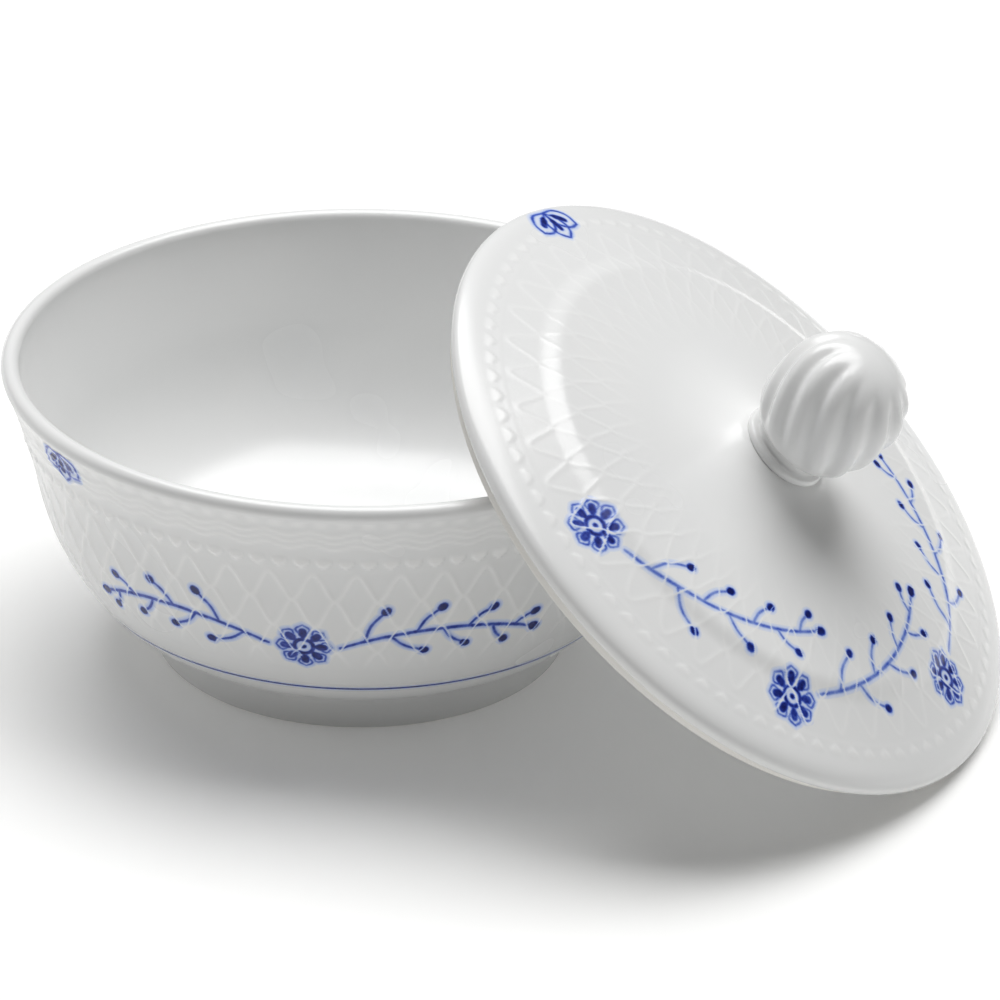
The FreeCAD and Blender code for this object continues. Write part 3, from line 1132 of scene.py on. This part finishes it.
@dataclass
class Lid:
    """The domed lid with its locating ring, in its own upright frame.

    Attributes are sizes in millimetres, as in the solid model, and angles in degrees. A pull is the length of a
    Bezier handle, or its reach outwards and upwards.
    """

    radius: float = 58.0
    ring_radius: float = 56.2
    ring_width: float = 2.8
    ring_depth: float = 2.2
    ring_edge: float = 0.5
    rise: float = 16.0
    pad_radius: float = 8.0
    shoulder: Point = (24.0, 12.0)
    step_top: Point = (41.8, 9.6)
    step_foot: Point = (43.3, 8.6)
    step_softness: float = 1.4
    edge_top: Point = (54.6, 5.8)
    widest: Point = (58.0, 3.6)
    under: Point = (57.2, 2.2)
    under_step: Point = (43.3, 4.7)
    vent_radius: float = 1.3
    vent_top: float = 10.8
    vent_turn: float = 13.4
    vent_mouth: float = 4.0
    pad_pull: Point = (2.2, -1.3)
    step_pull: float = 0.4
    edge_pull: Point = (1.7, 1.1)
    cove_pull: float = 2.5
    band_pull: float = 5.0
    hollow_pull: Point = (12.0, 2.0)
    crown_pull: float = 14.0
    net_begins: float = 33.0
    lean: float = 40.4
    heading: float = -21.6
    columns: int = 1008
    relief: Relief = field(default_factory=lambda: Relief(
        arches=42, peak_angle=-67.3, mean_radius=47.0, net_top=49.9, net_rows=5, row_step=5.3,
        net_fade=(24.0, 34.0), drops_at=52.9, line_at=51.3, by_height=False, ridge=0.045, drop=0.09,
        line=0.02, ridge_half_width=0.42,
    ))

    def slope(self) -> float:
        """Rise over run of the outer band."""
        return (self.edge_top[1] - self.step_foot[1]) / (self.edge_top[0] - self.step_foot[0])

    def face(self) -> list[Span]:
        """Spans from the pad over the shoulder and the step to the widest point of the rolled edge."""
        pad, shoulder = (self.pad_radius, self.rise), self.shoulder
        top, foot, edge, widest = self.step_top, self.step_foot, self.edge_top, self.widest
        third = ((top[0] - shoulder[0]) / 3, (top[1] - shoulder[1]) / 3)
        inner_slope = third[1] / third[0]
        soft, past, roll = self.step_softness, self.step_pull, self.edge_pull
        before = (top[0] - soft, top[1] - inner_slope * soft)
        after = (foot[0] + soft, foot[1] + self.slope() * soft)
        return [
            Span((pad, (pad[0] + self.pad_pull[0], pad[1] + self.pad_pull[1]),
                  (shoulder[0] - third[0], shoulder[1] - third[1]), shoulder), 16),
            Span((shoulder, before), 40),
            Span((before, (top[0] + past, top[1] + inner_slope * past),
                  (foot[0] - past, foot[1] - self.slope() * past), after), 10),
            Span((after, edge), 28),
            Span((edge, (edge[0] + roll[0], edge[1] + self.slope() * roll[0]),
                  (widest[0], widest[1] + roll[1]), widest), 9),
        ]

    def beneath(self) -> list[Span]:
        """Spans from the widest point under the edge, round the locating ring and across the underside."""
        inner = self.ring_radius - self.ring_width
        edge, under = self.ring_edge, self.under_step
        vent = (self.vent_radius, self.vent_top)
        return [
            Span((self.widest, (self.radius, self.under[1]), self.under), 5),
            Span((self.under, (self.ring_radius, self.ring_depth)), 1),
            Span(((self.ring_radius, self.ring_depth), (self.ring_radius, edge)), 2),
            Span(((self.ring_radius, edge), (self.ring_radius, 0.0), (self.ring_radius - edge, 0.0)), 3),
            Span(((self.ring_radius - edge, 0.0), (inner + edge, 0.0)), 1),
            Span(((inner + edge, 0.0), (inner, 0.0), (inner, edge)), 3),
            Span(((inner, edge), (inner, edge + self.cove_pull),
                  (under[0] + self.band_pull, under[1] + self.slope() * self.band_pull), under), 12),
            Span((under, (under[0] - self.hollow_pull[0], under[1] + self.hollow_pull[1]),
                  (vent[0] + self.crown_pull, vent[1]), vent), 24),
        ]

    def bands(self) -> list[Band]:
        """The whole outline as bands, from the pad outwards over the face and back underneath."""
        fine = outline(self.face(), [200, 400, 160, 400, 60])
        radius = fine[:, 0]
        shoulder, begins, edge = self.shoulder[0], self.net_begins, self.edge_top[0]
        centre = resample(fine[radius < shoulder], 16)
        middle = resample(fine[(radius >= shoulder) & (radius < begins)], 22)
        outer = resample(fine[(radius >= begins) & (radius < edge)], 57)
        roll = outline([self.face()[-1]])
        below = outline(self.beneath())
        outer_side = (below[:, 0] > 55.9) & (below[:, 0] < 57.0)
        ring = (below[:, 1] < 0.2) | ((below[:, 1] <= self.ring_depth) & outer_side)
        first, last = np.flatnonzero(ring)[[0, -1]]
        plain = self.columns // 4
        vent = [[self.vent_radius, self.vent_turn], [self.vent_radius, self.rise], [self.vent_mouth, self.rise]]
        return [
            Band(centre, plain),
            Band(middle, self.columns // 2, moulded=True),
            Band(outer, self.columns, moulded=True),
            Band(np.vstack([roll, below[1:first]]), plain),
            Band(below[first:last + 1], plain, bare=True),
            Band(np.vstack([below[last + 1:], vent]), plain),
        ]

    def place(self) -> Matrix:
        """Where the lid leans: turned by lean and heading, and moved so that its box is the solid lid's box.

        Returns:
            The turn and the move, in metres.
        """
        lean = Matrix.Rotation(math.radians(self.lean), 4, "Y")
        turn = Matrix.Rotation(math.radians(self.heading), 4, "Z") @ lean
        line = np.vstack([outline(self.face()), outline(self.beneath())]) * MM
        angle = np.linspace(0, 2 * np.pi, 720, endpoint=False)[:, None]
        points = np.stack([line[:, 0] * np.cos(angle), line[:, 0] * np.sin(angle), line[:, 1] + 0 * angle], -1)
        spun = points.reshape(-1, 3) @ np.array(turn.to_3x3()).T
        low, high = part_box("lid")
        middle = (np.array(low) + np.array(high)) / 2 - (spun.min(0) + spun.max(0)) / 2
        return Matrix.Translation(Vector(middle)) @ turn

    def build(self, glaze: bpy.types.Material, painted: bpy.types.Material) -> None:
        """Makes the lid and its painting, dresses them and sets them on their body."""
        place = self.place()
        lid = Turning(self.relief, 1.0).build("lid_moulded", self.bands(), None, place)
        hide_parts("lid")
        dress(lid, glaze, "lid_body")
        canvas = Canvas((-57.2, -57.0), (57.2, 57.0), 0.20)
        canvas.paint(on_lid(), 0.17, 0.30)
        wall = Wall(outline(self.face(), [200, 400, 160, 400, 200]), self.relief, 1.0)
        painting = canvas.inlay(wall, "lid_painting", place)
        dress(painting, painted, "lid_body")


@dataclass
class Knob:
    """The fluted bud on the lid, with its neck and the moulding luted to the pad.

    Attributes are sizes in millimetres, as in the solid model, and angles in degrees. A pull is the length of a
    Bezier handle, or its reach outwards and upwards. Fades are shares of the bud's height.
    """

    lid_rise: float = 16.0
    moulding: Point = (8.0, 1.3)
    neck_radius: float = 6.4
    neck_taper: float = 0.4
    bud_bottom: float = 18.9
    bud_height: float = 21.5
    bud_radius: float = 11.2
    flutes: int = 12
    flute_depth: float = 0.85
    flute_slant: float = 30.0
    flute_start: float = -5.0
    rib_breadth: float = 1.4
    fade_in: Point = (0.0, 0.22)
    fade_out: Point = (0.80, 0.985)
    moulding_in: Point = (0.5, 0.6)
    neck_pull: Point = (3.1, 0.8)
    side_pull: float = 6.2
    tip_pull: float = 7.2
    columns: int = 384

    def line(self) -> Array:
        """The outline from the pad up the neck and over the bud to its tip."""
        low, top = self.lid_rise, self.lid_rise + self.moulding[1]
        edge, (below, above) = self.moulding[0], self.moulding_in
        start = (self.neck_radius, self.bud_bottom)
        widest = (self.bud_radius, self.bud_bottom + self.bud_height / 2)
        tip = (0.0, self.bud_bottom + self.bud_height)
        neck = self.neck_radius - self.neck_taper
        pull, side = self.neck_pull, self.side_pull
        spans = [
            Span(((edge - below, low), (edge, low + self.moulding[1] / 2), (edge - above, top)), 8),
            Span(((edge - above, top), (neck, top)), 3),
            Span(((neck, top), start), 4),
            Span((start, (start[0] + pull[0], start[1] + pull[1]), (widest[0], widest[1] - side), widest), 30),
            Span((widest, (widest[0], widest[1] + side), (tip[0] + self.tip_pull, tip[1]), tip), 42),
        ]
        return outline(spans)[:-1]

    def fluted(self, angle: Array, height: Array) -> Array:
        """How far the surface lies inside the bud's outline.

        Each flute follows a line that turns round the bud as it rises, at the slant on the widest level. Across
        it, the depth is the half sum of one and the cosine of the flutes' phase, raised to a power above 1 so
        that the ribs are broader than the channels. It fades out at the neck and the tip.

        Args:
            angle: Angle round the axis.
            height: Height on the outline.

        Returns:
            Depth in millimetres.
        """
        turn = math.tan(math.radians(self.flute_slant)) / self.bud_radius
        middle = self.bud_bottom + self.bud_height / 2
        phase = self.flutes * (angle - math.radians(self.flute_start) + turn * (height - middle))
        channel = (0.5 + 0.5 * np.cos(phase)) ** self.rib_breadth
        share = (height - self.bud_bottom) / self.bud_height
        fade = ease(*self.fade_in, share) * (1 - ease(*self.fade_out, share))
        return self.flute_depth * fade * channel

    def build(self, glaze: bpy.types.Material, place: Matrix) -> None:
        """Makes the knob and sets it on the lid's body."""
        line = self.line()
        angle = np.linspace(0, 2 * np.pi, self.columns, endpoint=False)[None, :]
        radius = line[:, :1] - self.fluted(angle, line[:, 1:])
        points = np.stack([radius * np.cos(angle), radius * np.sin(angle), line[:, 1:] + 0 * angle], -1)
        draft = MeshDraft()
        index = draft.add_points(points, relief=0.0, bare=0.0)
        a, b = index[:-1], index[1:]
        draft.add_faces(np.stack([a, np.roll(a, -1, 1), np.roll(b, -1, 1), b], -1))
        tip = draft.add_points(np.array([[0, 0, self.bud_bottom + self.bud_height]]), relief=0.0, bare=0.0)
        base = draft.add_points(np.array([[0, 0, self.lid_rise]]), relief=0.0, bare=0.0)
        top, low = index[-1], index[0]
        draft.add_faces(np.stack([top, np.roll(top, -1), np.broadcast_to(tip, top.shape)], -1))
        draft.add_faces(np.stack([np.roll(low, -1), low, np.broadcast_to(base, low.shape)], -1))
        knob = draft.build("knob_fluted", place)
        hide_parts("lid_knob")
        dress(knob, glaze, "lid_body")


# ------------------------------------------------------------------ sprigs


@dataclass(frozen=True)
class Sprig:
    """A berry sprig drawn by rule: a stem that is part of a circle, with berried twigs on alternate sides.

    Attributes:
        root: Where the stem starts, on the flattened wall, in millimetres.
        heading: Its direction there, in degrees.
        length: Its length.
        turn: How far it turns from end to end, in degrees.
        twigs: Number of twigs.
        twig_length: Length of the first twig; they shorten evenly towards half of it.
        twig_angle: Angle between a twig and the stem, in degrees.
        berry_size: Width of a berry.
        width: Full width of the stem's stroke.
        load: Its pigment.
    """

    root: Point
    heading: float
    length: float
    turn: float
    twigs: int = 7
    twig_length: float = 7.0
    twig_angle: float = 44.0
    berry_size: float = 1.5
    width: float = 0.68
    load: float = 0.70

    def along(self, share: float) -> tuple[Point, float]:
        """A point of the stem: its chord from the root points half way through the turn made so far.

        Args:
            share: Share of the stem's length.

        Returns:
            The point, and the stem's direction there in degrees.
        """
        so_far = self.turn * share
        chord = self.length * share * float(np.sinc(so_far / 360))
        return reach(self.root, chord, self.heading + so_far / 2), self.heading + so_far

    def strokes(self) -> list[Stroke]:
        """The stem, its twigs and a berry on each tip."""
        strokes = [Stroke(tuple(self.along(share)[0] for share in np.linspace(0, 1, 9)), self.width, self.load)]
        for k in range(self.twigs):
            start, course = self.along((k + 1) / (self.twigs + 1))
            lean = self.twig_angle if k % 2 == 0 else -self.twig_angle
            length = self.twig_length * (1 - 0.5 * k / self.twigs)
            middle = reach(start, length / 2, course + 1.25 * lean)
            tip = reach(start, length, course + lean)
            strokes.append(Stroke((start, middle, tip), 0.75 * self.width, self.load, 0.9, 0.7))
            strokes.append(berry(tip, self.berry_size, course + 0.75 * lean))
        tip, course = self.along(1.0)
        return strokes + [berry(tip, 1.15 * self.berry_size, course, 1.5)]


def petals(at: Point, size: float, facing: float) -> list[Stroke]:
    """A cluster of three pointed petals: each is two bowed lines with a dark heart between them.

    Args:
        at: Where they meet.
        size: Length of a petal.
        facing: Direction of the middle one, in degrees.

    Returns:
        The strokes.
    """
    strokes = []
    for turn in (facing - 50, facing, facing + 50):
        for side in (-1, 1):
            bow = [reach(at, size * share, turn + side * spread) for share, spread in ((0.46, 40), (0.80, 20))]
            strokes.append(Stroke((at, *bow, reach(at, size, turn)), 0.5, 0.7))
        strokes.append(Stroke((reach(at, 0.25 * size, turn), reach(at, 0.62 * size, turn)), 1.3, 0.95, 0.5, 0.9))
    return strokes


def rosette(at: Point, radius: float) -> list[Stroke]:
    """A plain round flower: a dotted heart, a dark ring and eight equal petals.

    Args:
        at: Its middle.
        radius: Distance to the petals' tips.

    Returns:
        The strokes.
    """
    ring = tuple(reach(at, 0.34 * radius, turn) for turn in range(0, 361, 30))
    strokes = [berry(at, 0.9, 0, 1.05), Stroke(ring, 0.7, 0.9, 1, 1)]
    for turn in range(0, 360, 45):
        root, tip = reach(at, 0.46 * radius, turn), reach(at, radius, turn)
        strokes.append(Stroke((root, reach(at, 0.71 * radius, turn)), 1.5, 0.85, 0.6, 0.9))
        for side in (-1, 1):
            strokes.append(Stroke((root, reach(at, 0.83 * radius, turn + 18 * side), tip), 0.42, 0.6))
    return strokes


def on_bowl() -> list[Stroke]:
    """A mirrored pair of sprigs either side of a flower, low on the wall, and petals hung from the lip."""
    middle, rise = (0.0, 23.5), 24.0
    flower = rosette((middle[0], middle[1] + 1.0), 4.6)
    right = Sprig(reach(middle, 6.0, 10), rise, 34.0, -2 * rise)
    left = Sprig(reach(middle, 6.0, 170), 180 - rise, 34.0, 2 * rise)
    return flower + right.strokes() + left.strokes() + petals((-42.0, 50.0), 5.4, -90)


def on_lid() -> list[Stroke]:
    """Three equal sprigs that whirl inwards from flowers near the edge, and petals at the top of the edge.

    The first axis points down the slope. The lid is painted with a wetter brush than the bowl, so its stems
    are paler.
    """
    strokes = petals(reach((0.0, 0.0), 56.5, 165), 6.4, -15)
    for direction in (-108, -54, 0):
        root = reach((0.0, 0.0), 46.0, direction)
        strokes += rosette(root, 4.8)
        start = reach(root, 6.0, direction + 112)
        strokes += Sprig(start, direction + 112, 40.0, 58.0, 7, 8.0, load=0.48, berry_size=1.4).strokes()
    return strokes


# ------------------------------------------------------------------ studio


@dataclass
class Studio:
    """A pale floor, soft lights and the camera.

    Attributes:
        elevation: Camera's height above the horizon, in degrees.
        roll: Its turn about its own axis, in degrees.
        distance: Distance from its aim, in metres.
        aim: The point that it looks at, in metres.
        lens: Focal length on a 36 mm sensor.
        floor_colour: Colour of the floor.
        sky_colour: Colour of the sky.
        floor_glow: Strength of the light that comes through the floor.
        floor_half: Half the width of the floor, in metres.
        sky_glow: Strength of the sky.
        softboxes: Name, place, width and height, all in metres, and power in watts of each light.
    """

    elevation: float = 26.867
    roll: float = 1.048
    distance: float = 0.8004
    aim: tuple[float, float, float] = (0.02366, 0.0, 0.02506)
    lens: float = 169.65
    floor_colour: str = "#F7F7F6"
    sky_colour: str = "#FFFFFF"
    floor_glow: float = 0.10
    floor_half: float = 3.0
    sky_glow: float = 0.05
    softboxes: tuple = (
        ("overhead", (0.12, 0.40, 1.6), (1.8, 1.3), 36.0),
        ("left", (-1.9, 0.3, 0.7), (1.5, 1.8), 6.0),
    )

    def camera(self) -> None:
        """Makes the scene's camera, which looks along +Y and down."""
        tilt = math.radians(self.elevation)
        forward = Vector((0, math.cos(tilt), -math.sin(tilt)))
        right = Vector((1, 0, 0))
        up = right.cross(forward)
        turn = math.radians(self.roll)
        side = math.cos(turn) * right + math.sin(turn) * up
        top = -math.sin(turn) * right + math.cos(turn) * up
        data = bpy.data.cameras.new("camera")
        data.lens = self.lens
        data.clip_start, data.clip_end = 0.01, 20.0
        camera = bpy.data.objects.new("camera", data)
        basis = Matrix((side, top, -forward)).transposed().to_4x4()
        camera.matrix_world = Matrix.Translation(Vector(self.aim) - self.distance * forward) @ basis
        bpy.context.scene.collection.objects.link(camera)
        bpy.context.scene.camera = camera

    def floor(self) -> None:
        """A wide level floor under the foot, a sheet of white acrylic lit softly from below."""
        half = self.floor_half
        mesh = bpy.data.meshes.new("floor")
        mesh.from_pydata(
            [(-half, -half, 0), (half, -half, 0), (half, half, 0), (-half, half, 0)], [], [(0, 1, 2, 3)])
        material = bpy.data.materials.new("white_acrylic_sheet")
        material.use_nodes = True
        shader = material.node_tree.nodes["Principled BSDF"]
        shader.inputs["Base Color"].default_value = linear(self.floor_colour)
        shader.inputs["Roughness"].default_value = 0.9
        shader.inputs["Specular IOR Level"].default_value = 0.1
        shader.inputs["Emission Color"].default_value = linear(self.floor_colour)
        shader.inputs["Emission Strength"].default_value = self.floor_glow
        mesh.materials.append(material)
        floor = bpy.data.objects.new("floor", mesh)
        bpy.context.scene.collection.objects.link(floor)

    def softbox(self, name: str, at: Vector, size: Point, power: float) -> None:
        """A rectangular soft light aimed at the object."""
        data = bpy.data.lights.new(name, "AREA")
        data.shape = "RECTANGLE"
        data.size, data.size_y = size
        data.energy = power
        light = bpy.data.objects.new(name, data)
        aim = Vector(self.aim)
        light.matrix_world = Matrix.Translation(at) @ (aim - at).to_track_quat("-Z", "Y").to_matrix().to_4x4()
        bpy.context.scene.collection.objects.link(light)

    def lights(self) -> None:
        """A broad light overhead, a tall one on the left, and an even sky."""
        for name, at, size, power in self.softboxes:
            self.softbox(name, Vector(at), size, power)
        world = bpy.data.worlds.new("sky")
        world.use_nodes = True
        background = world.node_tree.nodes["Background"]
        background.inputs["Color"].default_value = linear(self.sky_colour)
        background.inputs["Strength"].default_value = self.sky_glow
        bpy.context.scene.world = world
        bpy.context.scene.view_settings.view_transform = "Standard"

    def build(self) -> None:
        """Sets the studio up."""
        self.camera()
        self.floor()
        self.lights()


def main() -> None:
    """Builds the studio, the bowl, the lid and the knob."""
    logging.basicConfig(level=logging.INFO, format="%(name)s %(message)s")
    Studio().build()
    porcelain = GlazedPorcelain()
    glaze = porcelain.make("glazed_porcelain", Surface.PLAIN)
    painted = porcelain.make("underglaze_cobalt_on_porcelain", Surface.PAINTED)
    Bowl().build(glaze, painted)
    lid = Lid()
    lid.build(glaze, painted)
    Knob().build(glaze, lid.place())


if __name__ == "__main__":
    main()
